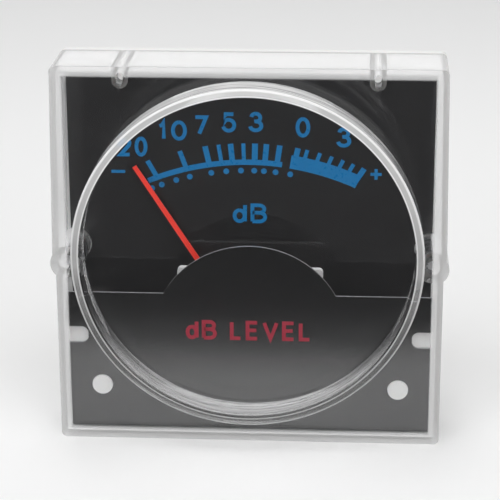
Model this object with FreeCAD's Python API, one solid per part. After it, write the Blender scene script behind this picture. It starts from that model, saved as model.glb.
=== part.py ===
import FreeCAD, Part
import math
import os

# Analog level meter for a round panel hole, in millimetres.
# The origin is on the collar's axis at the front face of the square cover. X points right, Z up, and Y from
# the front to the back. Heights are given above the base that the meter stands on.

V = FreeCAD.Vector

# Cover: round collar with its window, the square face round it, side walls
collar_r = 24.7
collar_wall = 1.2
collar_height = 4.6
collar_edge_r = 0.35
window_thickness = 1.2
face_side_margin = 2.8
face_top_margin = 1.8
face_foot_margin = 4.4
face_corner_r = 0.8
face_thickness = 1.2
cover_wall = 0.8
cover_depth = 10.1
side_flare = 0.45
flare_foot_height = 27.2
flare_step = 0.6
inner_corner_r = 0.3

# Two channels in the cover's top wall, and one screw boss in each side wall
channel_x = 17.8
channel_width = 1.1
channel_height = 1.8
channel_skin = 0.6
channel_top_skin = 0.85
boss_inset = 1.5
boss_height = 26.85
boss_r = 2.3
boss_skin = 1.2
prong_tip_depth = 3.2
prong_clearance = 0.05

# Mask plate in front of the movement
mask_gap = 0.5
mask_thickness = 0.5
mask_side_gap = 1.0
mask_foot_height = 1.4
mask_top_height = 22.1
mask_corner_r = 0.8
dome_axis_height = 15.3
dome_r = 14.1
slot_height = 15.6
slot_width = 2.5
slot_length = 3.2
slot_end_r = 1.0
post_inset = 6.05
post_height = 7.9
post_pin_r = 1.47
post_r = 2.25
pin_stand_out = 0.15

# Dial plate
dial_thickness = 0.5
dial_side_gap = 1.15
dial_offset_x = -0.25
dial_foot_height = 1.5
dial_top_gap = 3.2
dial_screw_inset = 10.5
dial_screw_height = 12.0
dial_corner_r = 0.4
dial_opening_r = 8.2

# Carrier behind the dial
carrier_thickness = 1.2
carrier_side_gap = 3.6
carrier_foot_height = 2.3
carrier_top_gap = 8.9
pillar_inset = 1.2
pillar_length = 4.1
pillar_width = 3.6
carrier_screw_inset = 12.0
carrier_screw_low = 4.9
carrier_screw_drop = 4.2
sleeve_wall = 1.3
sleeve_depth = 9.4
shoulder_r = 7.4
head_recess = 0.05
pin_bore_r = 1.52

# Rear housing
flange_thickness = 1.5
box_side_gap = 4.3
box_top_gap = 8.6
box_wall = 1.5
movement_room = 1.0
housing_corner_r = 1.6
screw_block_half = 2.2
screw_block_depth = 7.0

# Movement
pivot_height = 12.7
rest_angle = -32.7
travel_angle = 70.0
yoke_r = 9.0
yoke_bore_r = 6.3
yoke_length = 8.0
core_r = 4.5
saddle_half_angle = 24.0
coil_gap = 0.35
coil_end_gap = 0.5
former_thickness = 0.25
former_width = 3.8
winding_thickness = 0.45
winding_width = 3.2
shaft_r = 0.4
shaft_cone = 0.27
jewel_r = 0.73
jewel_length = 0.7
jewel_throat = 0.3
jewel_pit = 0.3
jewel_screw_r = 1.1
jewel_screw_length = 3.3
screw_slot_width = 0.35
screw_slot_depth = 0.5
lock_nut_size = 3.8
lock_nut_thickness = 0.65
front_jewel_depth = 5.9
jewel_collet_gap = 0.2
jewel_stand_out = 0.6
pivot_foot_r = 1.3

# Front bridge, its posts and the pointer's stops
bridge_depth = 3.4
bridge_thickness = 1.0
bridge_width = 20.9
bridge_foot_height = 2.0
bridge_top_height = 25.5
bridge_boss_r = 2.3
boss_skin = 1.2
prong_tip_depth = 3.2
prong_clearance = 0.05
bridge_boss_length = 0.9
bridge_post_x = 9.2
bridge_post_rise = 6.0
bridge_post_r = 1.1
bridge_corner_r = 0.6
stop_radius = 7.0
stop_pin_r = 0.45
stop_sleeve_r = 0.75
stop_stand_out = 0.6

# Rear bridge
rear_bridge_width = 5.0
rear_bridge_reach = 9.9
rear_bridge_leg = 2.0
rear_bridge_thickness = 1.0

# Pointer, its cross and weights
pointer_depth = 8.2
pointer_thickness = 0.35
pointer_reach = 31.3
pointer_width = 0.85
pointer_tip_width = 0.6
cross_thickness = 0.7
hub_r = 1.6
arm_width = 0.7
weight_bore_r = 0.5
tail_length = 8.0
side_arm_length = 5.0
tail_weight_r = 1.25
tail_weight_length = 2.6
side_weight_r = 0.6
side_weight_length = 1.4

# Hairsprings, their collets and anchors
spring_turns = 5
spring_start_gap = 0.03
spring_pitch = 0.62
spring_wire = 0.16
collet_r = 0.95
collet_length = 0.8
pivot_collet_gap = 0.1
anchor_r = 0.3
anchor_gap = 0.02
anchor_overlap = 0.25
front_anchor_turn = -55.0
rear_anchor_turn = 0.0
spring_arm_thickness = 0.4
spring_arm_ring_r = 3.3
spring_arm_width = 1.0

# Terminals
terminal_x = 12.0
terminal_height = 33.5
stud_r = 1.5
stud_head_r = 2.8
stud_head_thickness = 1.0
stud_free_length = 7.0
lug_thickness = 0.5
lug_r = 3.0
lug_reach = 10.0
lug_tail_width = 3.0
lug_eye_r = 0.7
washer_r = 3.1
washer_thickness = 0.5
nut_size = 5.5
nut_thickness = 2.4

# Screws
small_screw_r = 0.7
small_head_r = 1.35
small_head_thickness = 0.7
carrier_screw_length = 5.0
dial_screw_length = 3.2
bridge_screw_length = 3.0
rear_screw_length = 4.2
bore_run_out = 0.2
cover_screw_r = 1.0
cover_head_r = 1.5
cover_head_thickness = 1.1
cover_screw_tip_depth = 3.2

# Clearances
fit = 0.03
hole_clearance = 0.12
plate_clearance = 0.1
running = 0.05

# Places that follow from the sizes above
face_width = 2 * (collar_r + face_side_margin)
collar_axis_height = collar_r + face_foot_margin
face_height = collar_axis_height + collar_r + face_top_margin
boss_x = face_width / 2 - boss_inset
mask_width = face_width - 2 * mask_side_gap
slot_inner_x = mask_width / 2 - slot_length
post_x = face_width / 2 - post_inset
dial_width = face_width - 2 * dial_side_gap
dial_top_height = face_height - dial_top_gap
dial_screw_x = face_width / 2 - dial_screw_inset
carrier_width = face_width - 2 * carrier_side_gap
carrier_top_height = face_height - carrier_top_gap
carrier_screw_x = face_width / 2 - carrier_screw_inset
carrier_screw_high = carrier_top_height - carrier_screw_drop
pillar_outer_x = face_width / 2 - pillar_inset
pillar_inner_x = pillar_outer_x - pillar_length
box_width = face_width - 2 * box_side_gap
box_top_height = face_height - box_top_gap
dial_back = cover_depth
dial_depth = dial_back - dial_thickness
mask_front = face_thickness + mask_gap
mask_back = mask_front + mask_thickness
carrier_back = dial_back + carrier_thickness
flange_back = cover_depth + flange_thickness
cavity_half = box_width / 2 - box_wall
yoke_back = dial_back + yoke_length
sleeve_r = yoke_r + fit + sleeve_wall
sleeve_back = dial_back + sleeve_depth
bridge_back = bridge_depth + bridge_thickness
pointer_back = pointer_depth + pointer_thickness
cross_front = pointer_depth - cross_thickness
bore_half = core_r + coil_gap
bore_front = dial_back - coil_end_gap
bore_back = yoke_back + coil_end_gap
former_half = bore_half + former_thickness
former_front = bore_front - former_thickness
former_back = bore_back + former_thickness
winding_half = former_half + winding_thickness
winding_front = former_front - winding_thickness
winding_back = former_back + winding_thickness
pivot_foot = winding_front - pointer_back
front_spring_depth = front_jewel_depth + jewel_collet_gap + collet_length / 2
rear_spring_depth = winding_back + pivot_foot + pivot_collet_gap + collet_length / 2
rear_jewel_depth = rear_spring_depth + collet_length / 2 + pivot_foot
rear_bridge_depth = rear_jewel_depth + jewel_stand_out
cavity_back = rear_jewel_depth + jewel_screw_length + movement_room
housing_depth = cavity_back + box_wall
channel_low = face_height - channel_top_skin - channel_height
rib_r = channel_width / 2 + channel_skin
spring_step = spring_pitch / 2
spring_start_r = collet_r + spring_start_gap + spring_wire / 2
spring_end_r = spring_start_r + spring_turns * spring_pitch
stop_offset = math.degrees(math.asin((stop_sleeve_r + pointer_width / 2 + running) / stop_radius))
bridge_posts = [(x, pivot_height + rise) for x in (-bridge_post_x, bridge_post_x)
                for rise in (-bridge_post_rise, bridge_post_rise)]
carrier_screw_places = [(x, height) for x in (-carrier_screw_x, carrier_screw_x)
                        for height in (carrier_screw_low, carrier_screw_high)]
rear_bridge_back = rear_bridge_depth + rear_bridge_thickness
rear_screw_x = rear_bridge_reach - rear_bridge_leg / 2
stop_back = pointer_back + stop_stand_out
lug_front = housing_depth + washer_thickness
coil_turn = -travel_angle / 2
small_screw = (small_screw_r, small_head_r, small_head_thickness)
cover_screw = (cover_screw_r, cover_head_r, cover_head_thickness)


def up(height):
    return height - collar_axis_height


def block(x0, x1, y0, y1, low, high):
    return Part.makeBox(x1 - x0, y1 - y0, high - low, V(x0, y0, up(low)))


def rod(radius, x, height, y0, y1):
    front, back = sorted((y0, y1))
    return Part.makeCylinder(radius, back - front, V(x, front, up(height)), V(0, 1, 0))


def tube(radius, bore, x, height, y0, y1):
    return rod(radius, x, height, y0, y1).cut(rod(bore, x, height, y0, y1))


def slab(points, y0, y1):
    corners = [V(x, y0, up(height)) for x, height in points]
    corners.append(corners[0])
    return Part.Face(Part.makePolygon(corners)).extrude(V(0, y1 - y0, 0))


def round_corners(body, radius, heights=None):
    """Rounds the edges that run from front to back, all of them or those at the given heights."""
    edges = []
    for edge in body.Edges:
        if not isinstance(edge.Curve, Part.Line) or abs(edge.Curve.Direction.y) < 0.99:
            continue
        level = edge.Vertexes[0].Point.z
        if heights is None or any(abs(level - up(height)) < 0.01 for height in heights):
            edges.append(edge)
    return body.makeFillet(radius, edges)


def round_rims(body, radius, y):
    """Rounds the edges that lie in the plane at depth y."""
    edges = []
    for edge in body.Edges:
        box = edge.BoundBox
        if abs(box.YMin - y) < 0.01 and abs(box.YMax - y) < 0.01:
            edges.append(edge)
    return body.makeFillet(radius, edges)


def turned(body, angle):
    """Turns a shape about the pointer's axis, clockwise as seen from the front."""
    body = body.copy()
    body.rotate(V(0, 0, up(pivot_height)), V(0, 1, 0), angle)
    return body


def joined(bodies):
    result = bodies[0]
    for body in bodies[1:]:
        result = result.fuse(body)
    return result.removeSplitter()


def on_arc(radius, angle):
    x = radius * math.sin(math.radians(angle))
    return x, pivot_height + radius * math.cos(math.radians(angle))


def cover_blank(inset, y0, y1, corner_r):
    half = face_width / 2 - inset
    low = inset
    high = face_height - inset
    left = [(-half, low), (-half, flare_foot_height - flare_step),
            (-half - side_flare, flare_foot_height), (-half, high)]
    right = [(-x, height) for x, height in reversed(left)]
    return round_corners(slab(left + right, y0, y1), corner_r, (low, high))


def side_bosses(radius, y0, y1):
    return [rod(radius, side * boss_x, boss_height, y0, y1) for side in (-1, 1)]


def oblong(x, low, high, half_width, y0, y1):
    """An upright slot shape with round ends."""
    body = block(x - half_width, x + half_width, y0, y1, low + half_width, high - half_width)
    body = body.fuse(rod(half_width, x, low + half_width, y0, y1))
    return body.fuse(rod(half_width, x, high - half_width, y0, y1)).removeSplitter()


def front_cover():
    body = cover_blank(0, 0, cover_depth, face_corner_r)
    body = body.cut(cover_blank(cover_wall, face_thickness, cover_depth, inner_corner_r))
    collar = rod(collar_r, 0, collar_axis_height, -collar_height, face_thickness)
    collar = round_rims(collar, collar_edge_r, -collar_height)
    bore_start = window_thickness - collar_height
    bore = rod(collar_r - collar_wall, 0, collar_axis_height, bore_start, face_thickness)
    body = body.fuse(collar).cut(bore)
    for boss in side_bosses(boss_r, 0, cover_depth):
        body = body.fuse(boss)
    for side in (-1, 1):
        x = side * channel_x
        centre = channel_low + channel_width / 2
        rib = rod(rib_r, x, centre, 0, cover_depth)
        rib = rib.fuse(block(x - rib_r, x + rib_r, 0, cover_depth, centre, face_height - cover_wall))
        body = body.fuse(rib)
    for side in (-1, 1):
        high = channel_low + channel_height
        body = body.cut(oblong(side * channel_x, channel_low, high, channel_width / 2, 0, cover_depth))
    for bore in side_bosses(cover_screw_r + fit, boss_skin, cover_depth):
        body = body.cut(bore)
    return body.removeSplitter()


def mask_plate():
    half = mask_width / 2
    body = block(-half, half, mask_front, mask_back, mask_foot_height, mask_top_height)
    body = round_corners(body, mask_corner_r)
    dome = rod(dome_r, 0, dome_axis_height, mask_front, mask_back)
    dome = dome.common(block(-dome_r, dome_r, mask_front, mask_back, dome_axis_height,
                             dome_axis_height + dome_r))
    body = body.fuse(dome)
    for side in (-1, 1):
        inner, outer = sorted((side * slot_inner_x, side * (half + mask_corner_r + slot_end_r)))
        slot = block(inner, outer, mask_front, mask_back, slot_height - slot_width / 2,
                     slot_height + slot_width / 2)
        body = body.cut(round_corners(slot, slot_end_r))
        body = body.cut(rod(pin_bore_r, side * post_x, post_height, mask_front, mask_back))
    return body.removeSplitter()


def dial_plate():
    left = dial_offset_x - dial_width / 2
    right = dial_offset_x + dial_width / 2
    body = block(left, right, dial_depth, dial_back, dial_foot_height, dial_top_height)
    body = round_corners(body, dial_corner_r)
    body = body.cut(rod(dial_opening_r, 0, pivot_height, dial_depth, dial_back))
    for notch in side_bosses(boss_r + hole_clearance, dial_depth, dial_back):
        body = body.cut(notch)
    for x, height in bridge_posts:
        body = body.cut(rod(bridge_post_r + hole_clearance, x, height, dial_depth, dial_back))
    for side in (-1, 1):
        centre = channel_low + channel_width / 2
        body = body.cut(rod(rib_r + hole_clearance, side * channel_x, centre, dial_depth, dial_back))
        body = body.cut(rod(post_r + hole_clearance, side * post_x, post_height, dial_depth, dial_back))
        body = body.cut(rod(small_screw_r + fit, side * dial_screw_x, dial_screw_height,
                            dial_depth, dial_back))
        body = body.cut(pillar(side, dial_depth, dial_back, hole_clearance))
    return body.removeSplitter()


def pillar(side, y0, y1, margin=0.0):
    """The upright rib that shows behind a slot of the mask."""
    inner, outer = sorted((side * (pillar_inner_x - margin), side * (pillar_outer_x + margin)))
    reach = pillar_width / 2 + margin
    return block(inner, outer, y0, y1, slot_height - reach, slot_height + reach)


def movement_carrier():
    half = carrier_width / 2
    parts = [block(-half, half, dial_back, carrier_back, carrier_foot_height, carrier_top_height)]
    parts.append(rod(sleeve_r, 0, pivot_height, dial_back, sleeve_back))
    for side in (-1, 1):
        parts.append(pillar(side, mask_back, dial_back))
        parts.append(rod(post_r, side * post_x, post_height, mask_back, dial_back))
        parts.append(rod(post_pin_r, side * post_x, post_height, mask_front - pin_stand_out, mask_back))
    for x, height in bridge_posts:
        parts.append(rod(bridge_post_r, x, height, bridge_back, carrier_back))
    body = joined(parts)
    body = body.cut(rod(yoke_r + fit, 0, pivot_height, dial_back, yoke_back))
    body = body.cut(rod(shoulder_r, 0, pivot_height, yoke_back, sleeve_back))
    for x, height in bridge_posts:
        bore_end = bridge_depth + bridge_screw_length + bore_run_out
        body = body.cut(rod(small_screw_r + fit, x, height, bridge_back, bore_end))
    for x, height in carrier_screw_places:
        body = body.cut(rod(small_screw_r + hole_clearance, x, height, dial_back, carrier_back))
        seat = dial_back + head_recess + small_head_thickness
        body = body.cut(rod(small_head_r + hole_clearance, x, height, dial_back, seat))
    for side in (-1, 1):
        body = body.cut(rod(small_screw_r + fit, side * dial_screw_x, dial_screw_height,
                            dial_back, carrier_back))
        bore_end = rear_bridge_back - rear_screw_length - bore_run_out
        body = body.cut(rod(small_screw_r + fit, side * rear_screw_x, pivot_height, bore_end, sleeve_back))
    return body.removeSplitter()


def housing_shell():
    half = box_width / 2
    parts = [cover_blank(0, cover_depth, flange_back, face_corner_r)]
    parts += side_bosses(boss_r, cover_depth, flange_back)
    box = block(-half, half, cover_depth, housing_depth, 0, box_top_height)
    parts.append(round_corners(box, housing_corner_r))
    for side in (-1, 1):
        high = channel_low + channel_height
        parts.append(oblong(side * channel_x, channel_low + prong_clearance, high - prong_clearance,
                            channel_width / 2 - prong_clearance, prong_tip_depth, cover_depth))
    return joined(parts)


def rear_housing():
    body = housing_shell()
    recess_half = carrier_width / 2 + plate_clearance
    body = body.cut(block(-recess_half, recess_half, dial_back, carrier_back,
                          carrier_foot_height - plate_clearance, carrier_top_height + plate_clearance))
    body = body.cut(block(-cavity_half, cavity_half, carrier_back, cavity_back,
                          box_wall, box_top_height - box_wall))
    for x, height in carrier_screw_places:
        low, high = (box_wall, height + screw_block_half)
        if height > pivot_height:
            low, high = (height - screw_block_half, box_top_height - box_wall)
        support = block(x - screw_block_half, x + screw_block_half, carrier_back,
                        carrier_back + screw_block_depth, low, high)
        bore_end = dial_back + carrier_screw_length + bore_run_out
        support = support.cut(rod(small_screw_r + fit, x, height, carrier_back, bore_end + head_recess))
        body = body.fuse(support)
    for bore in side_bosses(cover_screw_r + hole_clearance, cover_depth, flange_back):
        body = body.cut(bore)
    for side in (-1, 1):
        body = body.cut(rod(stud_r + fit, side * terminal_x, terminal_height, cavity_back, housing_depth))
    return body.removeSplitter()


def screw(size, length, x, height, seat, way=1):
    """A screw with a slotted head on its seat. Its thread runs backwards, or forwards if way is -1."""
    radius, head_r, head_thickness = size
    top = seat - way * head_thickness
    head = rod(head_r, x, height, top, seat)
    front, back = sorted((top, top + way * screw_slot_depth * head_thickness))
    half = screw_slot_width / 2
    head = head.cut(block(x - head_r, x + head_r, front, back, height - half, height + half))
    return head.fuse(rod(radius, x, height, seat, seat + way * length)).removeSplitter()


def cover_screws():
    length = flange_back - cover_screw_tip_depth
    return [screw(cover_screw, length, side * boss_x, boss_height, flange_back, -1) for side in (-1, 1)]


def carrier_screws():
    seat = dial_back + head_recess + small_head_thickness
    length = carrier_screw_length - small_head_thickness
    return [screw(small_screw, length, x, height, seat) for x, height in carrier_screw_places]


def dial_screws():
    return [screw(small_screw, dial_screw_length, side * dial_screw_x, dial_screw_height, dial_depth)
            for side in (-1, 1)]


def bridge_screws():
    return [screw(small_screw, bridge_screw_length, x, height, bridge_depth) for x, height in bridge_posts]


def rear_bridge_screws():
    return [screw(small_screw, rear_screw_length, side * rear_screw_x, pivot_height, rear_bridge_back, -1)
            for side in (-1, 1)]


def front_bridge():
    half = bridge_width / 2
    body = block(-half, half, bridge_depth, bridge_back, bridge_foot_height, bridge_top_height)
    body = round_corners(body, bridge_corner_r)
    body = body.fuse(rod(bridge_boss_r, 0, pivot_height, bridge_back, bridge_back + bridge_boss_length))
    body = body.cut(rod(jewel_screw_r + fit, 0, pivot_height, bridge_depth, bridge_back + bridge_boss_length))
    for x, height in bridge_posts:
        body = body.cut(rod(small_screw_r + fit, x, height, bridge_depth, bridge_back))
    for x, height in stop_places():
        body = body.cut(rod(stop_pin_r, x, height, bridge_depth, bridge_back))
    return body.removeSplitter()


def rear_bridge():
    half = rear_bridge_width / 2
    low = pivot_height - half
    high = pivot_height + half
    body = block(-rear_bridge_reach, rear_bridge_reach, rear_bridge_depth, rear_bridge_back, low, high)
    for side in (-1, 1):
        inner, outer = sorted((side * (rear_bridge_reach - rear_bridge_leg), side * rear_bridge_reach))
        body = body.fuse(block(inner, outer, sleeve_back, rear_bridge_depth, low, high))
    for side in (-1, 1):
        body = body.cut(rod(small_screw_r + fit, side * rear_screw_x, pivot_height,
                            sleeve_back, rear_bridge_back))
    body = body.cut(rod(jewel_screw_r + fit, 0, pivot_height, rear_bridge_depth, rear_bridge_back))
    return body.removeSplitter()


def core_magnet():
    return rod(core_r, 0, pivot_height, dial_back, yoke_back)


def yoke_ring():
    return tube(yoke_r, yoke_bore_r, 0, pivot_height, dial_back, yoke_back)


def core_saddles():
    """Two spacers, above and below the core, that centre it in the yoke."""
    ring = tube(yoke_bore_r, core_r, 0, pivot_height, dial_back, yoke_back)
    reach = 2 * yoke_bore_r
    spread = reach * math.tan(math.radians(saddle_half_angle))
    saddles = []
    for side in (-1, 1):
        far = pivot_height + side * reach
        wedge = slab([(0, pivot_height), (-spread, far), (spread, far)], dial_back, yoke_back)
        saddles.append(ring.common(wedge))
    return saddles


def hexagon(size, x, height, y0, y1):
    corner_r = size / 2 / math.cos(math.radians(30))
    angles = [math.radians(60 * index) for index in range(6)]
    points = [(x + corner_r * math.cos(angle), height + corner_r * math.sin(angle)) for angle in angles]
    return slab(points, y0, y1)


def jewel_screw(face, way):
    """A screw with its slot at the far end and a pocket for the jewel at its inner face."""
    end = face + way * jewel_screw_length
    body = rod(jewel_screw_r, 0, pivot_height, face, end)
    body = body.cut(rod(jewel_r, 0, pivot_height, face, face + way * jewel_length))
    front, back = sorted((end, end - way * screw_slot_depth))
    half = screw_slot_width / 2
    return body.cut(block(-jewel_screw_r, jewel_screw_r, front, back, pivot_height - half,
                          pivot_height + half))


def jewel(face, way):
    body = rod(jewel_r, 0, pivot_height, face, face + way * jewel_length)
    bore_r = shaft_r + running
    throat = face + way * jewel_throat
    body = body.cut(rod(bore_r, 0, pivot_height, face, throat))
    return body.cut(Part.makeCone(bore_r, 0, jewel_pit, V(0, throat, up(pivot_height)), V(0, way, 0)))


def lock_nut(y0):
    body = hexagon(lock_nut_size, 0, pivot_height, y0, y0 + lock_nut_thickness)
    return body.cut(rod(jewel_screw_r + fit, 0, pivot_height, y0, y0 + lock_nut_thickness))


def stop_places():
    rest_stop = rest_angle - stop_offset
    end_stop = rest_angle + travel_angle + stop_offset
    return [on_arc(stop_radius, rest_stop), on_arc(stop_radius, end_stop)]


def pointer_stops():
    return [rod(stop_pin_r, x, height, bridge_depth, stop_back) for x, height in stop_places()]


def stop_sleeves():
    return [tube(stop_sleeve_r, stop_pin_r, x, height, bridge_back, stop_back) for x, height in stop_places()]


def hairspring(depth, turn):
    """A flat spiral of round wire, made of half turns that meet without a corner."""
    centre = up(pivot_height)
    edges = []
    x = spring_start_r
    for half_turn in range(2 * spring_turns):
        radius = spring_start_r + half_turn * spring_step
        side = 1 if half_turn % 2 == 0 else -1
        middle = x - side * radius
        far = middle - side * radius
        edges.append(Part.Arc(V(x, depth, centre), V(middle, depth, centre + side * radius),
                              V(far, depth, centre)).toShape())
        x = far
    start = Part.makeCircle(spring_wire / 2, V(spring_start_r, depth, centre), V(0, 0, 1))
    body = Part.Wire(edges).makePipeShell([Part.Wire([start])], True, False)
    return turned(body, turn)


def anchor_post(y0, y1):
    return rod(anchor_r, spring_end_r, pivot_height + anchor_r + anchor_gap, y0, y1)


def front_spring_arm():
    back = bridge_back + spring_arm_thickness
    post = anchor_post(bridge_back, front_spring_depth + anchor_overlap)
    half = spring_arm_width / 2
    level = pivot_height + anchor_r + anchor_gap
    arm = block(bridge_boss_r + fit, spring_end_r, bridge_back, back, level - half, level + half)
    arm = arm.fuse(rod(half, spring_end_r, level, bridge_back, back))
    ring = rod(spring_arm_ring_r, 0, pivot_height, bridge_back, back)
    body = joined([ring, arm, post])
    body = body.cut(rod(bridge_boss_r + fit, 0, pivot_height, bridge_back, back))
    return turned(body.removeSplitter(), front_anchor_turn)


def rear_spring_anchor():
    post = anchor_post(rear_spring_depth - anchor_overlap, rear_bridge_depth)
    return turned(post, rear_anchor_turn)


def coil_former():
    half = former_width / 2
    body = block(-former_half, former_half, former_front, former_back, pivot_height - half,
                 pivot_height + half)
    body = body.cut(block(-bore_half, bore_half, bore_front, bore_back, pivot_height - half,
                          pivot_height + half))
    return turned(body, coil_turn)


def coil_winding():
    half = winding_width / 2
    low = pivot_height - half
    high = pivot_height + half
    body = block(-winding_half, winding_half, winding_front, winding_back, low, high)
    edges = [edge for edge in body.Edges if edge.BoundBox.ZLength > half]
    body = body.makeFillet(winding_thickness, edges)
    body = body.cut(block(-former_half, former_half, former_front, former_back, low, high))
    return turned(body, coil_turn)


def pivot_pin(foot, face, way):
    """A steel pivot glued to the coil, from the winding to its jewel."""
    shaft_end = face + way * (jewel_throat - running)
    body = rod(pivot_foot_r, 0, pivot_height, foot, foot + way * pivot_foot)
    body = body.fuse(rod(shaft_r, 0, pivot_height, foot, shaft_end))
    tip = Part.makeCone(shaft_r, 0, shaft_cone, V(0, shaft_end, up(pivot_height)), V(0, way, 0))
    return body.fuse(tip).removeSplitter()


def pivots():
    return [pivot_pin(winding_front, front_jewel_depth, -1), pivot_pin(winding_back, rear_jewel_depth, 1)]


def pointer():
    top = pivot_height + pointer_reach
    points = [(-pointer_width / 2, pivot_height), (-pointer_tip_width / 2, top),
              (pointer_tip_width / 2, top), (pointer_width / 2, pivot_height)]
    body = slab(points, pointer_depth, pointer_back)
    body = body.fuse(rod(hub_r, 0, pivot_height, pointer_depth, pointer_back))
    body = body.cut(rod(shaft_r, 0, pivot_height, pointer_depth, pointer_back))
    return turned(body.removeSplitter(), rest_angle)


def pointer_cross():
    half = arm_width / 2
    parts = [rod(hub_r, 0, pivot_height, cross_front, pointer_depth)]
    parts.append(block(-half, half, cross_front, pointer_depth, pivot_height - tail_length, pivot_height))
    parts.append(block(-side_arm_length, side_arm_length, cross_front, pointer_depth,
                       pivot_height - half, pivot_height + half))
    body = joined(parts)
    body = body.cut(rod(shaft_r, 0, pivot_height, cross_front, pointer_depth))
    return turned(body, rest_angle)


def weight(radius, length, reach, angle):
    """A tube pushed on an arm of the cross. Its outer end is at the given reach."""
    middle = (cross_front + pointer_depth) / 2
    foot = V(0, middle, up(pivot_height) + reach - length)
    body = Part.makeCylinder(radius, length, foot, V(0, 0, 1))
    body = body.cut(Part.makeCylinder(weight_bore_r, length, foot, V(0, 0, 1)))
    return turned(body, rest_angle + angle)


def tail_weight():
    return weight(tail_weight_r, tail_weight_length, tail_length, 180)


def side_weights():
    return [weight(side_weight_r, side_weight_length, side_arm_length, angle) for angle in (-90, 90)]


def spring_collets():
    half = collet_length / 2
    return [tube(collet_r, shaft_r, 0, pivot_height, depth - half, depth + half)
            for depth in (front_spring_depth, rear_spring_depth)]


def terminal_studs():
    studs = []
    for side in (-1, 1):
        x = side * terminal_x
        head = rod(stud_head_r, x, terminal_height, cavity_back - stud_head_thickness, cavity_back)
        stud = rod(stud_r, x, terminal_height, cavity_back, housing_depth + stud_free_length)
        studs.append(head.fuse(stud).removeSplitter())
    return studs


def terminal_washers():
    back = housing_depth + washer_thickness
    return [tube(washer_r, stud_r + fit, side * terminal_x, terminal_height, housing_depth, back)
            for side in (-1, 1)]


def solder_lugs():
    lugs = []
    back = lug_front + lug_thickness
    half = lug_tail_width / 2
    for side in (-1, 1):
        x = side * terminal_x
        end = terminal_height + lug_reach
        body = rod(lug_r, x, terminal_height, lug_front, back)
        body = body.fuse(block(x - half, x + half, lug_front, back, terminal_height, end - half))
        body = body.fuse(rod(half, x, end - half, lug_front, back))
        body = body.cut(rod(stud_r + fit, x, terminal_height, lug_front, back))
        body = body.cut(rod(lug_eye_r, x, end - half, lug_front, back))
        lugs.append(body.removeSplitter())
    return lugs


def terminal_nuts():
    front = lug_front + lug_thickness
    back = front + nut_thickness
    nuts = []
    for side in (-1, 1):
        x = side * terminal_x
        body = hexagon(nut_size, x, terminal_height, front, back)
        nuts.append(body.cut(rod(stud_r + fit, x, terminal_height, front, back)))
    return nuts


nodes = {
    "front_cover": front_cover(),
    "mask_plate": mask_plate(),
    "dial_plate": dial_plate(),
    "movement_carrier": movement_carrier(),
    "rear_housing": rear_housing(),
    "cover_screws": cover_screws(),
    "carrier_screws": carrier_screws(),
    "dial_screws": dial_screws(),
    "bridge_screws": bridge_screws(),
    "rear_bridge_screws": rear_bridge_screws(),
    "front_bridge": front_bridge(),
    "rear_bridge": rear_bridge(),
    "core_magnet": core_magnet(),
    "yoke_ring": yoke_ring(),
    "core_saddles": core_saddles(),
    "jewel_screws": [jewel_screw(front_jewel_depth, -1), jewel_screw(rear_jewel_depth, 1)],
    "jewels": [jewel(front_jewel_depth, -1), jewel(rear_jewel_depth, 1)],
    "lock_nuts": [lock_nut(bridge_depth - lock_nut_thickness), lock_nut(rear_bridge_back)],
    "pointer_stops": pointer_stops(),
    "stop_sleeves": stop_sleeves(),
    "front_spring_arm": front_spring_arm(),
    "rear_spring_anchor": rear_spring_anchor(),
    "front_hairspring": hairspring(front_spring_depth, front_anchor_turn),
    "rear_hairspring": hairspring(rear_spring_depth, rear_anchor_turn),
    "coil_former": coil_former(),
    "coil_winding": coil_winding(),
    "pivots": pivots(),
    "pointer": pointer(),
    "pointer_cross": pointer_cross(),
    "tail_weight": tail_weight(),
    "side_weights": side_weights(),
    "spring_collets": spring_collets(),
    "terminal_studs": terminal_studs(),
    "terminal_washers": terminal_washers(),
    "solder_lugs": solder_lugs(),
    "terminal_nuts": terminal_nuts(),
}

os.makedirs("parts", exist_ok=True)
for name, shape in nodes.items():
    if isinstance(shape, list):
        shape = Part.makeCompound(shape)
    shape.exportStep("parts/" + name + ".step")
    print(name, len(shape.Solids), shape.isValid(), round(shape.Volume, 3))
print("free gap between the turns of a hairspring:", round(spring_pitch - spring_wire, 3))
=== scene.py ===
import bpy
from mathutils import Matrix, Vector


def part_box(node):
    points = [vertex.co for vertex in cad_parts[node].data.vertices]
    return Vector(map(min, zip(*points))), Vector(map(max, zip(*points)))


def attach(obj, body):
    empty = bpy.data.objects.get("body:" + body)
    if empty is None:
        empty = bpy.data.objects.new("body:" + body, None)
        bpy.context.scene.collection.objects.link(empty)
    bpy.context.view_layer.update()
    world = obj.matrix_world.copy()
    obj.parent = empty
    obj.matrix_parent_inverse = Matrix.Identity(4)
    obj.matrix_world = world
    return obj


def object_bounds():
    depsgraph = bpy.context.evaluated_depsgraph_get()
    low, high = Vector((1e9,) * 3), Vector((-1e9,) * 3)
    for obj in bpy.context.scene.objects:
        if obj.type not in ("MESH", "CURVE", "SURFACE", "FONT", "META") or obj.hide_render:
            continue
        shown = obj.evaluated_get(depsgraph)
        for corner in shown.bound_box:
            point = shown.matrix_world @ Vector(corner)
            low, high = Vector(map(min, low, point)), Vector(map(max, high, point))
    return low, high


bl_info = {
    "name": "Level meter looks",
    "version": (1, 0, 0),
    "blender": (4, 5, 0),
    "location": "View3D > Sidebar > Meter",
    "description": "Dresses a panel level meter: clear cover, printed dial, movement and photo stage",
    "category": "Object",
}

import math

import bmesh
import bpy
from bpy.props import FloatProperty, FloatVectorProperty, PointerProperty
from mathutils import Matrix, Vector

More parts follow.
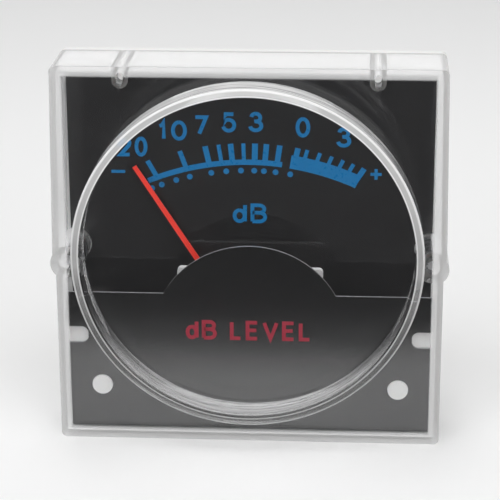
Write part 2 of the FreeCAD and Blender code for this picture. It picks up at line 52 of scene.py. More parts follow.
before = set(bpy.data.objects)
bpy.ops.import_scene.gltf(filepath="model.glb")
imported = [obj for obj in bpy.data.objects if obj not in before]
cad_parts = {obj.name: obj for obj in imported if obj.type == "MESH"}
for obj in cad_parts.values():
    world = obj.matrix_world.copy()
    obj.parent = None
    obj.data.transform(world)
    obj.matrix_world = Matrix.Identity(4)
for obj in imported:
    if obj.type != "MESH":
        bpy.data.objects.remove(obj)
CAD_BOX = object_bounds()
MM = 0.001

# Places that the frame gives: the collar's axis is at x 0 and z 0, the base under it, the dial's front face
BASE_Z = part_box("front_cover")[0].z
DIAL_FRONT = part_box("dial_plate")[0].y
MASK_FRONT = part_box("mask_plate")[0].y
MASK_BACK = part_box("mask_plate")[1].y


def colour(name, description, default):
    return FloatVectorProperty(name=name, description=description, subtype="COLOR", size=3, min=0.0, max=1.0,
                               default=default)


def length(name, description, default):
    return FloatProperty(name=name, description=description, default=default, min=0.0, subtype="DISTANCE",
                         unit="LENGTH")


class MeterColours(bpy.types.PropertyGroup):
    """Colours of the printed and moulded surfaces."""
    dial: colour("Dial", "Gloss black coat of the dial plate", (0.019, 0.019, 0.0195))
    mask: colour("Mask", "Satin black of the plate in front of the movement", (0.003, 0.003, 0.0032))
    scale_blue: colour("Scale print", "Blue ink of the scale and the figures", (0.004, 0.185, 0.45))
    letter_red: colour("Lettering", "Dull red ink on the mask", (0.33, 0.014, 0.036))
    pointer_red: colour("Pointer", "Bright red lacquer of the pointer", (1.0, 0.050, 0.030))
    white_part: colour("White mouldings", "White plastic of carrier and housing", (0.80, 0.80, 0.79))
    grey_part: colour("Grey moulding", "Light grey plastic of the front bridge", (0.66, 0.66, 0.66))


class PrintSizes(bpy.types.PropertyGroup):
    """Sizes of the printed scale, in the plane of the dial."""
    arc_x: FloatProperty(name="Arc centre across", description="Middle of the scale's arcs, across",
                         default=-0.4 * MM, unit="LENGTH")
    arc_height: length("Arc centre height", "Middle of the scale's arcs above the meter's base", 2.0 * MM)
    aim_x: FloatProperty(name="Aim point across", description="Point that the marks point to, across",
                         default=-0.35 * MM, unit="LENGTH")
    aim_height: length("Aim point height", "Point that the marks point to, above the base", 13.0 * MM)
    dot_radius: length("Dot circle", "Radius of the row of dots", 36.3 * MM)
    dot_size: length("Dot size", "Diameter of a dot", 0.85 * MM)
    band_inner: length("Band, inner radius", "Inner edge of both bands", 37.15 * MM)
    thin_outer: length("Thin band, outer radius", "Outer edge of the thin band", 37.95 * MM)
    thick_outer: length("Thick band, outer radius", "Outer edge of the thick band", 39.15 * MM)
    tick_outer: length("Tick tops", "Radius of the outer ends of the marks", 40.35 * MM)
    figure_height: length("Figure height", "Height of the printed figures", 3.0 * MM)
    figure_stroke: length("Figure stroke", "Width of a figure's stroke", 0.55 * MM)
    ink_thickness: length("Ink thickness", "How far the ink stands on its plate", 0.015 * MM)


class StudioSettings(bpy.types.PropertyGroup):
    """Light and camera."""
    key_power: FloatProperty(name="Top light", description="Power of the large light above", default=2.7)
    rear_power: FloatProperty(name="Rear light", description="Power of the light above the back", default=0.8)
    fill_power: FloatProperty(name="Fill lights", description="Power of each side light", default=0.6)
    world_strength: FloatProperty(name="Surround", description="Strength of the even surround", default=0.25)
    world_shown: FloatProperty(name="Seen surround", description="How bright the surround looks", default=0.9)
    lens: FloatProperty(name="Lens", description="Focal length in millimetres", default=139.06)


class Value:
    """A number socket in a shader, with arithmetic that adds its own Math nodes."""

    def __init__(self, look, socket):
        self.look = look
        self.socket = socket

    def _maths(self, operation, *terms):
        values = {index: term for index, term in enumerate(terms)}
        return Value(self.look, self.look.add("ShaderNodeMath", {"operation": operation}, values).outputs[0])

    def __add__(self, other):
        return self._maths("ADD", self, other)

    def __radd__(self, other):
        return self._maths("ADD", other, self)

    def __sub__(self, other):
        return self._maths("SUBTRACT", self, other)

    def __rsub__(self, other):
        return self._maths("SUBTRACT", other, self)

    def __mul__(self, other):
        return self._maths("MULTIPLY", self, other)

    def __rmul__(self, other):
        return self._maths("MULTIPLY", other, self)

    def size(self):
        return self._maths("ABSOLUTE", self)

    def larger(self, other):
        return self._maths("MAXIMUM", self, other)


class Nodes:
    """Adds nodes to one tree, of a material or of the world."""

    def __init__(self, tree):
        self.tree = tree

    def add(self, kind, settings=None, values=None):
        node = self.tree.nodes.new(kind)
        for name, value in (settings or {}).items():
            if name == "stops":
                while len(node.color_ramp.elements) < len(value):
                    node.color_ramp.elements.new(0.5)
                for element, (position, shade) in zip(node.color_ramp.elements, value):
                    element.position = position
                    element.color = shade
            else:
                setattr(node, name, value)
        for name, value in (values or {}).items():
            if isinstance(value, Value):
                value = value.socket
            if isinstance(value, bpy.types.NodeSocket):
                self.tree.links.new(value, node.inputs[name])
            else:
                node.inputs[name].default_value = value
        return node

    def ray(self, kind):
        return Value(self, self.add("ShaderNodeLightPath").outputs[kind])


class Look(Nodes):
    """Builds one material from nodes."""

    def __init__(self, name, **constants):
        self.material = bpy.data.materials.new(name)
        self.material.use_nodes = True
        super().__init__(self.material.node_tree)
        self.shader = self.tree.nodes["Principled BSDF"]
        self.output = self.tree.nodes["Material Output"]
        for socket, value in constants.items():
            self.shader.inputs[socket.replace("_", " ")].default_value = value

    def place(self):
        return self.add("ShaderNodeTexCoord").outputs["Object"]

    def axes(self):
        """The place as three numbers: across, depth and height."""
        parts = self.add("ShaderNodeSeparateXYZ", {}, {0: self.place()})
        return [Value(self, output) for output in parts.outputs]

    def noise(self, scale, detail=3.0, roughness=0.55, stretch=(1, 1, 1)):
        vector = self.add("ShaderNodeMapping", {}, {"Vector": self.place(), "Scale": stretch}).outputs[0]
        node = self.add("ShaderNodeTexNoise", {}, {"Vector": vector, "Scale": scale, "Detail": detail,
                                                   "Roughness": roughness})
        return Value(self, node.outputs["Fac"])

    def mix(self, factor, first, second):
        node = self.add("ShaderNodeMix", {"data_type": "RGBA"}, {"Factor": factor})
        for socket, value in zip((node.inputs[6], node.inputs[7]), (first, second)):
            if isinstance(value, bpy.types.NodeSocket):
                self.tree.links.new(value, socket)
            else:
                socket.default_value = (*value[:3], 1.0)
        return node.outputs[2]

    def ramp(self, value, stops):
        grey = [(position, (level, level, level, 1.0)) for position, level in stops]
        node = self.add("ShaderNodeValToRGB", {"stops": grey}, {"Fac": value})
        return Value(self, node.outputs["Color"])

    def across(self, value, span, levels):
        """Goes smoothly from the first level to the second while the value crosses the span."""
        node = self.add("ShaderNodeMapRange", {"interpolation_type": "SMOOTHSTEP"},
                        {"Value": value, "From Min": span[0], "From Max": span[1], "To Min": levels[0],
                         "To Max": levels[1]})
        return Value(self, node.outputs[0])

    def within(self, value, low, high, soft):
        """One between two limits, nought outside them, with soft borders."""
        return (self.across(value, (low - soft, low), (0.0, 1.0)) *
                self.across(value, (high, high + soft), (1.0, 0.0)))

    def paint_light_on_walls(self, share, passed):
        """Paints white light onto a clear piece where the share says so: a white matt layer standing in for the
        bright refractions and highlights of its walls. Lamps shine through it, so its shadow is faint.
        """
        # painted light: the white matt layer that is mixed into the clear walls
        white = self.add("ShaderNodeBsdfDiffuse", {}, {"Color": (0.9, 0.9, 0.9, 1)})
        clear = self.add("ShaderNodeBsdfTransparent", {}, {"Color": (passed, passed, passed, 1)})
        walls = self.add("ShaderNodeMixShader", {}, {0: share, 1: self.shader.outputs[0],
                                                     2: white.outputs[0]})
        both = self.add("ShaderNodeMixShader", {}, {0: self.ray("Is Shadow Ray"), 1: walls.outputs[0],
                                                    2: clear.outputs[0]})
        self.tree.links.new(both.outputs[0], self.output.inputs["Surface"])

    def feed(self, name, value):
        socket = value.socket if isinstance(value, Value) else value
        self.tree.links.new(socket, self.shader.inputs[name])

    def bump(self, height, distance, strength=1.0):
        node = self.add("ShaderNodeBump", {}, {"Height": height, "Distance": distance, "Strength": strength})
        self.feed("Normal", node.outputs[0])


def shades(base, change):
    """A darker and a lighter shade of a colour."""
    return [tuple(min(1.0, part * (1 + side * change)) for part in base) for side in (-1, 1)]


# Where the collar's front rim and outer skin begin, how far out the other walls are, and the painted white light
# on them
COLLAR_RIM = (23.5 * MM, 23.6 * MM)
COLLAR_SKIN = (24.1 * MM, 24.4 * MM)
RIM_DEPTH = (CAD_BOX[0].y + 0.15 * MM, CAD_BOX[0].y + 0.4 * MM)
SIDE_WALL = 26.1 * MM
FACE_MIDDLE = (CAD_BOX[0].z + CAD_BOX[1].z) / 2
END_WALL = (CAD_BOX[1].z - CAD_BOX[0].z) / 2 - 1.3 * MM
RIM_INNER_EDGE = (23.55 * MM, 23.7 * MM)
RIM_OUTER_EDGE = (24.45 * MM, 24.7 * MM)
COLLAR_BORE = (23.35 * MM, 23.65 * MM)
BORE_DEPTH = (CAD_BOX[0].y + 1.0 * MM, CAD_BOX[0].y + 1.3 * MM)
# Shares of painted white light, standing in for bright refraction and highlights: the rim low and high, its edge
# lines, the bore, the crown and the flat walls
RIM_PAINTED_LIGHT = (0.06, 0.60)
EDGE_PAINTED_HIGHLIGHT = 0.35
BORE_PAINTED_LIGHT = 0.42
CROWN_PAINTED_LIGHT = 0.62
WALL_PAINTED_LIGHT = 0.45
# How much light a clear wall passes, the soft borders of the painted light, and the heights between which it
# changes
LIGHT_PASSED = 0.93
PAINTED_LIGHT_BORDER = 0.3 * MM
EDGE_BORDER = 0.1 * MM
RIM_RISE = (-18 * MM, 16 * MM)
CROWN_RISE = (8 * MM, 20 * MM)
BORE_RISE = (-23 * MM, -5 * MM)


def clear_plastic():
    """Clear moulding: a faint waviness and fine wipe marks. A white matt layer is painted on its walls as
    painted highlights and painted reflections: lines along the rim's edges, the rim brighter higher up, the bore
    brighter lower down, the top of the outer skin, and the flat walls.
    """
    look = Look("clear_plastic", Base_Color=(0.985, 0.985, 0.99, 1), IOR=1.49, Transmission_Weight=1.0)
    wipes = look.noise(900, 4, 0.6, (1, 1, 0.25))
    look.feed("Roughness", look.ramp(wipes, [(0.5, 0.0), (0.85, 0.02)]))
    look.bump(look.noise(60, 1), 0.00002, 0.25)
    x, y, z = look.axes()
    flat = look.add("ShaderNodeVectorMath", {"operation": "MULTIPLY"}, {0: look.place(), 1: (1, 0, 1)})
    radius = Value(look, look.add("ShaderNodeVectorMath", {"operation": "LENGTH"},
                                  {0: flat.outputs[0]}).outputs["Value"])
    # painted highlights: bright lines along the rim's inner and outer edge
    inner, outer = [look.within(radius, *edge, EDGE_BORDER) for edge in (RIM_INNER_EDGE, RIM_OUTER_EDGE)]
    rim = look.across(radius, COLLAR_RIM, (0, 1)) * look.across(y, RIM_DEPTH, (1, 0))
    # painted light on the front rim, growing from low to high
    raised = look.across(z, RIM_RISE, RIM_PAINTED_LIGHT)
    rim = rim * (inner.larger(outer) * EDGE_PAINTED_HIGHLIGHT + raised)
    # painted light in the bore, strongest low down
    bore = look.within(radius, *COLLAR_BORE, EDGE_BORDER) * look.across(y, BORE_DEPTH, (0, 1))
    bore = bore * look.across(z, BORE_RISE, (BORE_PAINTED_LIGHT, 0))
    # patches that break up the painted light of the bore and the crown
    painted_light_streaks = look.ramp(look.noise(300, 3, 0.6, (0.25, 5, 0.25)), [(0.36, 0.35), (0.62, 1.0)])
    # painted light on the top of the collar's outer skin
    crown = look.across(radius, COLLAR_SKIN, (0, 1)) * look.across(y, (-PAINTED_LIGHT_BORDER, 0), (1, 0))
    crown = crown * look.across(z, CROWN_RISE, (0, 1))
    # painted light on the side and end walls
    sides = look.across(x.size(), (SIDE_WALL - PAINTED_LIGHT_BORDER, SIDE_WALL), (0, 1))
    ends = look.across((z - FACE_MIDDLE).size(), (END_WALL - PAINTED_LIGHT_BORDER, END_WALL), (0, 1))
    round_painted_light = rim.larger(bore.larger(crown * CROWN_PAINTED_LIGHT) * painted_light_streaks)
    flat_painted_light = sides.larger(ends) * WALL_PAINTED_LIGHT
    look.paint_light_on_walls(round_painted_light.larger(flat_painted_light), LIGHT_PASSED)
    return look.material


def gloss_black(base):
    """Dial coat: deep gloss with dust specks and a slight ripple of the sheet."""
    look = Look("dial_black", Coat_Roughness=0.02, Specular_IOR_Level=0.6)
    darker, lighter = shades(base, 0.12)
    look.feed("Base Color", look.mix(look.noise(180), darker, lighter))
    look.feed("Roughness", look.ramp(look.noise(700, 5), [(0.35, 0.03), (0.75, 0.09)]))
    look.bump(look.noise(45, 1), 0.00001, 0.15)
    return look.material


def satin_black(base):
    """Mask coat: satin black with a fine grain, and the sheet's paler cut edge."""
    look = Look("mask_black", Specular_IOR_Level=1.0)
    darker, lighter = shades(base, 0.12)
    coat = look.mix(look.noise(260), darker, lighter)
    _, depth, _ = look.axes()
    cut = look.within(depth, MASK_FRONT + 0.1 * MM, MASK_BACK - 0.1 * MM, 0.04 * MM)
    look.feed("Base Color", look.mix(cut, coat, (0.30, 0.30, 0.31)))
    look.feed("Roughness", look.ramp(look.noise(1500, 4), [(0.3, 0.185), (0.7, 0.195)]))
    look.bump(look.noise(6500, 2), 0.000002, 0.2)
    return look.material


def ink(name, base, gloss):
    """Screen printed ink, a little uneven in its cover."""
    look = Look(name)
    darker, lighter = shades(base, 0.10)
    look.feed("Base Color", look.mix(look.noise(2600, 4), darker, lighter))
    look.feed("Roughness", look.ramp(look.noise(1800), [(0.3, gloss), (0.7, gloss + 0.12)]))
    return look.material


def moulded(name, base, grain):
    """Moulded plastic with a fine spark-eroded grain and faint flow shades."""
    look = Look(name, Subsurface_Weight=0.04, Subsurface_Scale=0.002)
    darker, lighter = shades(base, 0.035)
    look.feed("Base Color", look.mix(look.noise(110, 2), darker, lighter))
    look.feed("Roughness", look.ramp(look.noise(1200, 4), [(0.3, 0.42), (0.7, 0.58)]))
    look.bump(look.noise(grain, 2), 0.00001, 0.45)
    return look.material


def metal(name, base, rough, stretch=(1, 1, 1), scale=1400):
    """Metal with fine tool marks, and cloudy tarnish in its colour."""
    look = Look(name, Metallic=1.0)
    darker, lighter = shades(base, 0.10)
    look.feed("Base Color", look.mix(look.noise(420, 3), darker, lighter))
    marks = look.noise(scale, 4, 0.6, stretch)
    look.feed("Roughness", look.ramp(marks, [(0.3, rough), (0.75, rough + 0.16)]))
    look.bump(marks, 0.000008, 0.5)
    return look.material


def lacquer(base):
    """Red pointer lacquer: a thin even coat."""
    look = Look("pointer_red", Coat_Weight=0.15, Coat_Roughness=0.2)
    darker, lighter = shades(base, 0.06)
    look.feed("Base Color", look.mix(look.noise(900), darker, lighter))
    look.feed("Roughness", look.ramp(look.noise(1500), [(0.3, 0.38), (0.7, 0.5)]))
    return look.material


def gem():
    """Synthetic ruby of the bearings."""
    look = Look("ruby", Base_Color=(0.75, 0.06, 0.16, 1), IOR=1.76, Transmission_Weight=0.7)
    look.feed("Roughness", look.ramp(look.noise(3000), [(0.3, 0.03), (0.7, 0.1)]))
    return look.material


def soft_sleeve():
    """Soft pale tube on the pointer's stops."""
    look = Look("stop_sleeve", Subsurface_Weight=0.1, Subsurface_Scale=0.001)
    darker, lighter = shades((0.78, 0.77, 0.70), 0.05)
    look.feed("Base Color", look.mix(look.noise(700), darker, lighter))
    look.feed("Roughness", look.ramp(look.noise(1600), [(0.3, 0.5), (0.7, 0.65)]))
    return look.material


def wound_copper():
    """Enamelled wire, one fine turn beside the next."""
    look = Look("wound_copper", Metallic=0.85, Coat_Weight=0.5, Coat_Roughness=0.15)
    vector = look.add("ShaderNodeMapping", {}, {"Vector": look.place(), "Rotation": (0, math.radians(35), 0)})
    wave = look.add("ShaderNodeTexWave", {"bands_direction": "Z"},
                    {"Vector": vector.outputs[0], "Scale": 4200.0, "Distortion": 0.4, "Detail": 1.0})
    turns = Value(look, wave.outputs["Fac"])
    look.feed("Base Color", look.mix(turns, (0.24, 0.06, 0.02), (0.62, 0.22, 0.09)))
    look.feed("Roughness", look.ramp(turns, [(0.2, 0.42), (0.8, 0.26)]))
    look.bump(turns, 0.00003, 0.7)
    return look.material


def dress(names, material):
    """Gives CAD nodes a material."""
    for name in names:
        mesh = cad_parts[name].data
        mesh.materials.clear()
        mesh.materials.append(material)


def linked(name, mesh, material, body):
    """Puts a finished mesh in the scene, riding on a body of the frame."""
    piece = bpy.data.objects.new(name, mesh)
    bpy.context.scene.collection.objects.link(piece)
    mesh.materials.append(material)
    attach(piece, body)
    return piece


def finished(name, sheet):
    mesh = bpy.data.meshes.new(name)
    bmesh.ops.recalc_face_normals(sheet, faces=sheet.faces)
    sheet.to_mesh(mesh)
    sheet.free()
    return mesh


class Print:
    """Flat ink shapes on a plate that faces the viewer: x across, height above the base."""

    def __init__(self, plane_y, thickness, centre_x=0.0, centre_height=0.0):
        self.sheet = bmesh.new()
        self.plane_y = plane_y
        self.thickness = thickness
        self.centre_x = centre_x
        self.centre_height = centre_height

    def spot(self, x, height):
        return Vector((x, self.plane_y, BASE_Z + height))

    def on_arc(self, radius, degrees):
        angle = math.radians(degrees)
        across, up = radius * math.sin(angle), radius * math.cos(angle)
        return self.spot(self.centre_x + across, self.centre_height + up)

    def towards(self, aim, radius, degrees):
        """The point of an arc on the line that leaves the aim point at this angle."""
        angle = math.radians(degrees)
        way = Vector((math.sin(angle), 0, math.cos(angle)))
        start = self.spot(*aim) - self.spot(self.centre_x, self.centre_height)
        half = start.dot(way)
        reach = math.sqrt(half * half - start.length_squared + radius * radius) - half
        return self.spot(*aim) + way * reach

    def band(self, inner, outer, start, end):
        """A strip along the scale's arc, spun from its first edge."""
        pair = [self.sheet.verts.new(self.on_arc(radius, start)) for radius in (inner, outer)]
        edge = self.sheet.edges.new(pair)
        steps = max(2, int(abs(end - start) / BAND_STEP))
        bmesh.ops.spin(self.sheet, geom=pair + [edge], cent=self.spot(self.centre_x, self.centre_height),
                       axis=(0, 1, 0), angle=math.radians(end - start), steps=steps, use_merge=False)

    def bar(self, first, last, width):
        """A straight mark between two points."""
        along = (last - first).normalized()
        across = Vector((along.z, 0, -along.x)) * (width / 2)
        corners = [first - across, first + across, last + across, last - across]
        self.sheet.faces.new([self.sheet.verts.new(corner) for corner in corners])

    def stroke(self, points, width):
        """A strip of even width along a line of points, with mitred corners."""
        edges = []
        for index, point in enumerate(points):
            way_in = (point - points[max(0, index - 1)]).normalized()
            way_out = (points[min(len(points) - 1, index + 1)] - point).normalized()
            way = (way_in + way_out).normalized()
            across = Vector((way.z, 0, -way.x))
            turned = max(way.dot(way_in), way.dot(way_out), 0.4)
            across *= width / 2 / turned
            edges.append([self.sheet.verts.new(point + side * across) for side in (-1, 1)])
        for (left, right), (next_left, next_right) in zip(edges, edges[1:]):
            self.sheet.faces.new((left, right, next_right, next_left))

    def word(self, text, x, height, tall, wide, width):
        """A word or figure in even strokes, its middle at the given place."""
        parts = [SIGNS[sign] for sign in text]
        natural = sum(share for share, _ in parts) + SIGN_GAP * (len(parts) - 1)
        scale = wide / natural
        left = x - wide / 2
        for share, strokes in parts:
            inside = share * scale - width
            for layer, points in enumerate(strokes):
                raised = Vector((0, -layer * self.thickness / 4, 0))
                self.stroke([raised + self.spot(left + width / 2 + across * inside,
                                                height + (up - 0.5) * (tall - width))
                             for across, up in points], width)
            left += (share + SIGN_GAP) * scale

    def dot(self, centre, diameter):
        turn = Matrix.Translation(centre) @ Matrix.Rotation(math.radians(90), 4, "X")
        bmesh.ops.create_circle(self.sheet, cap_ends=True, segments=24, radius=diameter / 2, matrix=turn)

    def piece(self, name, material, body, slot):
        """Gives the ink its thickness, towards the viewer."""
        bmesh.ops.remove_doubles(self.sheet, verts=self.sheet.verts, dist=1e-8)
        grown = bmesh.ops.extrude_face_region(self.sheet, geom=list(self.sheet.faces))
        moved = [item for item in grown["geom"] if isinstance(item, bmesh.types.BMVert)]
        bmesh.ops.translate(self.sheet, verts=moved, vec=(0, -self.thickness, 0))
        return linked(name, finished(name, self.sheet), material, body)


# Each mark of the scale: its direction in degrees from upright, and its width in millimetres
MARKS = [(-29.1, 0.7), (-19.8, 0.7), (-12.6, 0.8), (-8.8, 0.57), (-5.4, 0.8), (-1.8, 0.57), (1.5, 0.85),
         (4.7, 0.8), (8.45, 0.8), (13.6, 0.8), (16.2, 0.57), (19.8, 0.57), (23.2, 0.57), (26.4, 0.57),
         (29.4, 0.57), (32.5, 0.8)]
DOTS = [-32.3, -29.05, -24.2, -19.7, -12.6, -7.7, -2.9, 1.45, 4.6, 8.4, 13.2]
THIN_BAND = (-23.0, 7.2)
THICK_BAND = (8.92, 24.2)
# Each printed figure: text, centre across, centre height and width, in millimetres
FIGURES = [("20", -17.19, 41.67, 4.2), ("10", -11.51, 44.13, 4.3), ("7", -7.36, 44.92, 2.1),
           ("5", -3.33, 45.43, 2.1), ("3", 0.55, 45.54, 2.1), ("0", 7.26, 44.84, 2.1),
           ("3", 13.13, 43.43, 2.1)]
DIAL_WORD = ("dB", -0.36, 31.84, 5.0)
MASK_WORD = ("dB LEVEL", -0.15, 16.68, 18.1)
# The bars of the minus and the plus sign: layer, both ends as across and height in millimetres
SIGN_BARS = [(0, (-20.4, 37.9), (-18.4, 37.9)), (0, (17.0, 38.0), (18.6, 38.0)),
             (1, (17.8, 37.2), (17.8, 38.8))]
SIGN_WIDTH = 0.45 * MM


# Degrees between the points of a printed oval and of a printed band
OVAL_STEP = 12
BAND_STEP = 1.2


def curve(across, up, wide, tall, start, end):
    """Points along an oval, its angles counted clockwise from the top."""
    steps = max(2, int(abs(end - start) / OVAL_STEP))
    angles = [math.radians(start + (end - start) * step / steps) for step in range(steps + 1)]
    return [(across + wide * math.sin(angle), up + tall * math.cos(angle)) for angle in angles]


# Each sign: its width as a share of its height, and its strokes in a square from 0 to 1
SIGNS = {
    "0": (0.66, [curve(0.5, 0.5, 0.5, 0.5, 0, 360)]),
    "1": (0.42, [[(0.1, 0.76), (0.5, 0.82), (0.75, 1.0), (0.75, 0.0)]]),
    "2": (0.66, [curve(0.5, 0.71, 0.5, 0.29, -85, 125) + [(0.0, 0.0), (1.0, 0.0)]]),
    "3": (0.66, [curve(0.48, 0.76, 0.42, 0.24, -80, 180), curve(0.48, 0.27, 0.52, 0.27, -15, 262)]),
    "5": (0.66, [[(0.92, 1.0), (0.2, 1.0), (0.08, 0.5)] + curve(0.48, 0.33, 0.52, 0.33, -45, 255)]),
    "7": (0.64, [[(0.0, 1.0), (1.0, 1.0), (0.35, 0.0)]]),
    "d": (0.62, [curve(0.48, 0.34, 0.48, 0.34, 0, 360), [(1.0, 1.0), (1.0, 0.0)]]),
    "B": (0.72, [[(0.0, 0.0), (0.0, 1.0), (0.5, 1.0)] + curve(0.55, 0.77, 0.38, 0.23, 0, 180) + [(0.0, 0.54)],
                 [(0.5, 0.54)] + curve(0.55, 0.27, 0.45, 0.27, 0, 180) + [(0.0, 0.0)]]),
    "L": (0.60, [[(0.0, 1.0), (0.0, 0.0), (1.0, 0.0)]]),
    "E": (0.64, [[(1.0, 1.0), (0.0, 1.0), (0.0, 0.0), (1.0, 0.0)], [(0.0, 0.52), (0.92, 0.52)]]),
    "V": (0.78, [[(0.0, 1.0), (0.5, 0.0), (1.0, 1.0)]]),
    " ": (0.30, []),
}
SIGN_GAP = 0.16


class METER_OT_clear_cover(bpy.types.Operator):
    """Gives the front cover its clear moulded plastic"""
    bl_idname = "meter.clear_cover"
    bl_label = "Clear cover"

    def execute(self, context):
        dress(["front_cover"], clear_plastic())
        return {"FINISHED"}


class METER_OT_plates(bpy.types.Operator):
    """Coats the dial plate and the mask plate"""
    bl_idname = "meter.plates"
    bl_label = "Dial and mask"

    def execute(self, context):
        colours = context.scene.meter_colours
        dress(["dial_plate"], gloss_black(colours.dial))
        dress(["mask_plate"], satin_black(colours.mask))
        return {"FINISHED"}


class METER_OT_scale(bpy.types.Operator):
    """Prints the scale, its figures and the words"""
    bl_idname = "meter.scale"
    bl_label = "Printed scale"

    def execute(self, context):
        sizes = context.scene.meter_print
        blue = ink("scale_ink", context.scene.meter_colours.scale_blue, 0.25)
        red = ink("mask_ink", context.scene.meter_colours.letter_red, 0.45)
        aim = (sizes.aim_x, sizes.aim_height)
        centre = (sizes.arc_x, sizes.arc_height)
        thick = sizes.ink_thickness

        marks = Print(DIAL_FRONT, thick, *centre)
        for degrees, width in MARKS:
            marks.bar(marks.towards(aim, sizes.band_inner, degrees),
                      marks.towards(aim, sizes.tick_outer, degrees), width * MM)
        marks.piece("scale_marks", blue, "case", "dial_black")

        bands = Print(DIAL_FRONT - thick, thick / 2, *centre)
        bands.band(sizes.band_inner, sizes.thin_outer, *THIN_BAND)
        bands.band(sizes.band_inner, sizes.thick_outer, *THICK_BAND)
        bands.piece("scale_bands", blue, "case", "dial_black")

        dots = Print(DIAL_FRONT, thick, *centre)
        for degrees in DOTS:
            dots.dot(dots.towards(aim, sizes.dot_radius, degrees), sizes.dot_size)
        dots.piece("scale_dots", blue, "case", "dial_black")

        signs = Print(DIAL_FRONT, thick)
        for layer, start, end in SIGN_BARS:
            raised = Vector((0, -layer * thick / 4, 0))
            signs.bar(*(raised + signs.spot(x * MM, height * MM) for x, height in (start, end)),
                      SIGN_WIDTH)
        signs.piece("scale_signs", blue, "case", "dial_black")

        figures = Print(DIAL_FRONT, thick)
        for text, x, height, wide in FIGURES + [DIAL_WORD]:
            figures.word(text, x * MM, height * MM, sizes.figure_height, wide * MM, sizes.figure_stroke)
        figures.piece("scale_figures", blue, "case", "dial_black")
        words = Print(MASK_FRONT, thick)
        text, x, height, wide = MASK_WORD
        words.word(text, x * MM, height * MM, sizes.figure_height, wide * MM, sizes.figure_stroke)
        words.piece("mask_word", red, "case", "mask_black")
        return {"FINISHED"}


class METER_OT_movement(bpy.types.Operator):
    """Gives the movement, the pointer and the small parts their finishes"""
    bl_idname = "meter.movement"
    bl_label = "Movement"

    def execute(self, context):
        colours = context.scene.meter_colours
        dress(["pointer"], lacquer(colours.pointer_red))
        dress(["front_bridge"], moulded("grey_moulding", colours.grey_part, 5200))
        dress(["core_magnet"], metal("cast_magnet", (0.10, 0.10, 0.105), 0.45))
        dress(["yoke_ring"], metal("soft_iron", (0.33, 0.33, 0.34), 0.38))
        dress(["coil_former", "pointer_cross"], metal("aluminium", (0.82, 0.82, 0.83), 0.25))
        dress(["coil_winding"], wound_copper())
        dress(["jewels"], gem())
        dress(["stop_sleeves"], soft_sleeve())
        dress(["front_hairspring", "rear_hairspring"], metal("spring_bronze", (0.72, 0.42, 0.22), 0.2))
        return {"FINISHED"}


class METER_OT_case(bpy.types.Operator):
    """Gives the carrier, the housing, the screws and the terminals their finishes"""
    bl_idname = "meter.case"
    bl_label = "Housing and fittings"

    def execute(self, context):
        colours = context.scene.meter_colours
        dress(["movement_carrier", "rear_housing"], moulded("white_moulding", colours.white_part, 4200))
        dress(["cover_screws", "carrier_screws", "dial_screws", "bridge_screws", "rear_bridge_screws",
               "pivots", "pointer_stops"], metal("plated_steel", (0.62, 0.62, 0.63), 0.22))
        dress(["rear_bridge", "core_saddles", "front_spring_arm", "rear_spring_anchor", "tail_weight",
               "side_weights", "spring_collets", "jewel_screws", "lock_nuts"],
              metal("sheet_brass", (0.80, 0.58, 0.26), 0.24))
        dress(["terminal_studs", "terminal_nuts", "terminal_washers", "solder_lugs"],
              metal("terminal_brass", (0.83, 0.66, 0.36), 0.2, (1, 0.15, 1)))
        return {"FINISHED"}


def paper(name, level):
    """Matt white table with a barely seen unevenness. Away from the meter it is painted near black for
    reflection rays only, a painted reflection of a dark room."""
    look = Look(name, Emission_Strength=1.0)
    darker, lighter = shades((level, level, level), 0.006)
    pale = look.mix(look.noise(7, 2), darker, lighter)
    _, along, _ = look.axes()
    mirrored = look.ray("Is Glossy Ray").larger(look.ray("Is Transmission Ray"))
    seen = look.ray("Is Camera Ray").larger(mirrored)
    # painted reflection: reflection rays see the table near black from TABLE_LIT on
    painted_dark_in_reflections = look.across(along, TABLE_LIT, (0.0, 1.0)) * mirrored
    look.feed("Base Color", look.mix(painted_dark_in_reflections, pale, (0.01, 0.01, 0.011)))
    lift = look.across(along, TABLE_DEPTH, TABLE_LIFT) * seen * (1.0 - painted_dark_in_reflections)
    look.feed("Emission Color", lift)
    look.feed("Roughness", look.ramp(look.noise(30), [(0.3, 0.55), (0.7, 0.65)]))
    return look.material


def lamp(name, place, aim, size, power):
    light = bpy.data.lights.new(name, "AREA")
    light.shape = "RECTANGLE"
    light.size, light.size_y = size
    light.energy = power
    thing = bpy.data.objects.new(name, light)
    thing.location = place
    thing.rotation_euler = (aim - place).to_track_quat("-Z", "Y").to_euler()
    bpy.context.scene.collection.objects.link(thing)


def surround(strength, shown):
    """A dim even surround that the camera, glass and metal see as pale grey."""
    world = bpy.data.worlds.new("studio")
    world.use_nodes = True
    nodes = Nodes(world.node_tree)
    seen = nodes.ray("Is Camera Ray").larger(nodes.ray("Is Glossy Ray")).larger(nodes.ray("Is Transmission Ray"))
    level = nodes.add("ShaderNodeMapRange", {}, {"Value": seen, "To Min": strength, "To Max": shown})
    background = nodes.tree.nodes["Background"]
    background.inputs["Color"].default_value = (1, 1, 1, 1)
    nodes.tree.links.new(level.outputs[0], background.inputs["Strength"])
    return world


# The camera, fitted to the photograph: its place in millimetres above the table, and its turns in radians
CAMERA_PLACE = (15.876, -257.062, 117.867)
CAMERA_TURNS = (-0.3310, 0.0031, 0.0609)
# Reflections show the table white up to the first depth in front of the meter, and dark from the second on
TABLE_LIT = (-0.028, -0.050)
# Depths between which the seen table is lifted more and more, and the least and the greatest lift
TABLE_DEPTH = (-0.01, 0.18)
TABLE_LIFT = (0.0, 0.08)
# The table, in metres: half its width, its front and back end, and the radius by which it turns up behind
TABLE_HALF = 1.5
TABLE_FRONT = -0.9
TABLE_BACK = 0.7
SWEEP_R = 0.4
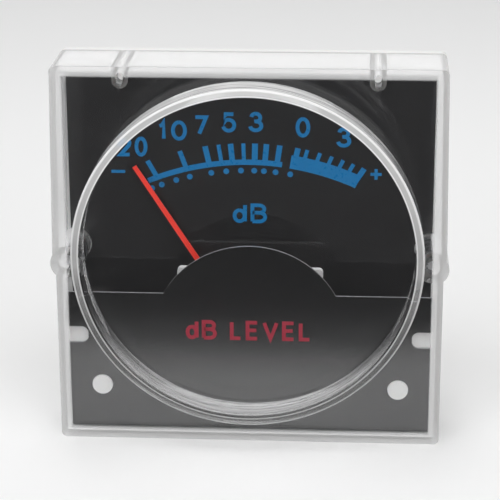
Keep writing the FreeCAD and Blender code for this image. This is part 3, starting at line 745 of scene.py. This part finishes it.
# Each light: its place as across, depth and height above the table, its size, and the setting of its power
LIGHTS = [("top_light", (0.0, -0.22, 0.62), (0.7, 0.4), "key_power"),
          ("rear_light", (-0.03, 0.16, 0.6), (0.16, 0.16), "rear_power"),
          ("left_light", (-0.45, -0.5, 0.3), (0.4, 0.5), "fill_power"),
          ("right_light", (0.45, -0.5, 0.3), (0.4, 0.5), "fill_power")]
LIT_PLACE = (0, 0.005, 0.03)


class METER_OT_stage(bpy.types.Operator):
    """Sets the table, the lights and the camera"""
    bl_idname = "meter.stage"
    bl_label = "Stage"

    def execute(self, context):
        studio = context.scene.meter_studio
        sweep = bmesh.new()
        pair = [sweep.verts.new((x, TABLE_FRONT, BASE_Z)) for x in (-TABLE_HALF, TABLE_HALF)]
        edge = sweep.edges.new(pair)
        grown = bmesh.ops.extrude_edge_only(sweep, edges=[edge])["geom"]
        ends = [item for item in grown if isinstance(item, bmesh.types.BMVert)]
        bmesh.ops.translate(sweep, verts=ends, vec=(0, TABLE_BACK - TABLE_FRONT, 0))
        front = [item for item in grown if isinstance(item, bmesh.types.BMEdge)]
        bmesh.ops.spin(sweep, geom=ends + front, cent=(0, TABLE_BACK, BASE_Z + SWEEP_R), axis=(1, 0, 0),
                       angle=math.radians(90), steps=24, use_merge=False)
        table = bpy.data.objects.new("table", finished("table", sweep))
        table.data.materials.append(paper("white_table", 0.88))
        for face in table.data.polygons:
            face.use_smooth = True
        context.scene.collection.objects.link(table)

        context.scene.world = surround(studio.world_strength, studio.world_shown)
        above = Vector((0, 0, BASE_Z))
        for name, spot, size, power in LIGHTS:
            lamp(name, Vector(spot) + above, Vector(LIT_PLACE) + above, size, getattr(studio, power))

        camera = bpy.data.cameras.new("camera")
        camera.lens = studio.lens
        camera.sensor_width = 36.0
        camera.clip_start = 0.01
        viewer = bpy.data.objects.new("camera", camera)
        tilt, roll, pan = CAMERA_TURNS
        turn = Matrix.Rotation(pan, 3, "Z") @ Matrix.Rotation(tilt, 3, "X") @ Matrix.Rotation(roll, 3, "Y")
        right, forward, up = turn.col
        axes = Matrix((right, up, -forward)).transposed()
        place = Vector(CAMERA_PLACE) * MM + Vector((0, 0, BASE_Z))
        viewer.matrix_world = Matrix.Translation(place) @ axes.to_4x4()
        context.scene.collection.objects.link(viewer)
        context.scene.camera = viewer
        context.scene.view_settings.view_transform = "Standard"
        return {"FINISHED"}


class METER_PT_panel(bpy.types.Panel):
    """Lists the steps and their settings"""
    bl_idname = "METER_PT_panel"
    bl_label = "Level meter"
    bl_space_type = "VIEW_3D"
    bl_region_type = "UI"
    bl_category = "Meter"

    def draw(self, context):
        for step in STEPS:
            self.layout.operator(step.bl_idname)
        for settings in (context.scene.meter_colours, context.scene.meter_print, context.scene.meter_studio):
            box = self.layout.box()
            for name in settings.__annotations__:
                box.prop(settings, name)


SETTINGS = (MeterColours, PrintSizes, StudioSettings)
STEPS = (METER_OT_clear_cover, METER_OT_plates, METER_OT_scale, METER_OT_movement, METER_OT_case,
         METER_OT_stage)


def register():
    for kind in SETTINGS + STEPS + (METER_PT_panel,):
        bpy.utils.register_class(kind)
    bpy.types.Scene.meter_colours = PointerProperty(type=MeterColours)
    bpy.types.Scene.meter_print = PointerProperty(type=PrintSizes)
    bpy.types.Scene.meter_studio = PointerProperty(type=StudioSettings)


def unregister():
    del bpy.types.Scene.meter_studio
    del bpy.types.Scene.meter_print
    del bpy.types.Scene.meter_colours
    for kind in reversed(SETTINGS + STEPS + (METER_PT_panel,)):
        bpy.utils.unregister_class(kind)


def main():
    register()
    bpy.ops.meter.clear_cover()
    bpy.ops.meter.plates()
    bpy.ops.meter.scale()
    bpy.ops.meter.movement()
    bpy.ops.meter.case()
    bpy.ops.meter.stage()


if __name__ == "__main__":
    main()
